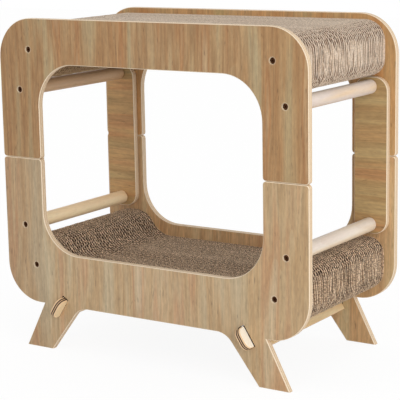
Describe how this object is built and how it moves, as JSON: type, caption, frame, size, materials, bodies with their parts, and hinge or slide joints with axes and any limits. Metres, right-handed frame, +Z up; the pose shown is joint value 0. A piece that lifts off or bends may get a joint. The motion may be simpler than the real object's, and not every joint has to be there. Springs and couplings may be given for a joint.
{
  "type": "cat scratcher house",
  "caption": "Open cat house: plywood frames on splayed legs, joined by dowel rails, with dished corrugated-cardboard scratch pads as bed and roof.",
  "frame": {"origin": "on the floor, under the middle of the house", "axes": "+Z up, the front faces -Y, +X to the right of someone looking at the front"},
  "size_m": [0.5, 0.287, 0.475],
  "materials": {
    "plywood": "clear satin lacquer on oak-like veneer, pale raw ply edges",
    "dowel_wood": "smooth sanded beech",
    "stretcher_wood": "pale sanded plywood",
    "cardboard": "open flutes of glued corrugated strips",
    "screw_steel": "black oxide"
  },
  "bodies": {
    "root": {"front_upper_frame": "plywood", "front_lower_frame": "plywood", "front_left_splice_plate": "plywood", "front_right_splice_plate": "plywood", "back_upper_frame": "plywood", "back_lower_frame": "plywood", "back_left_splice_plate": "plywood", "back_right_splice_plate": "plywood", "upper_left_rail": "dowel_wood", "upper_left_pad_rod": "dowel_wood", "upper_right_rail": "dowel_wood", "upper_right_pad_rod": "dowel_wood", "upper_scratch_pad": "cardboard", "lower_left_rail": "dowel_wood", "lower_left_pad_rod": "dowel_wood", "lower_right_rail": "dowel_wood", "lower_right_pad_rod": "dowel_wood", "lower_scratch_pad": "cardboard", "left_stretcher": "stretcher_wood", "right_stretcher": "stretcher_wood", "front_upper_left_rail_screw": "screw_steel", "front_upper_left_pad_rod_screw": "screw_steel", "front_upper_right_rail_screw": "screw_steel", "front_upper_right_pad_rod_screw": "screw_steel", "front_lower_left_rail_screw": "screw_steel", "front_lower_left_pad_rod_screw": "screw_steel", "front_lower_right_rail_screw": "screw_steel", "front_lower_right_pad_rod_screw": "screw_steel", "back_upper_left_rail_screw": "screw_steel", "back_upper_left_pad_rod_screw": "screw_steel", "back_upper_right_rail_screw": "screw_steel", "back_upper_right_pad_rod_screw": "screw_steel", "back_lower_left_rail_screw": "screw_steel", "back_lower_left_pad_rod_screw": "screw_steel", "back_lower_right_rail_screw": "screw_steel", "back_lower_right_pad_rod_screw": "screw_steel"}
  },
  "joints": []
}
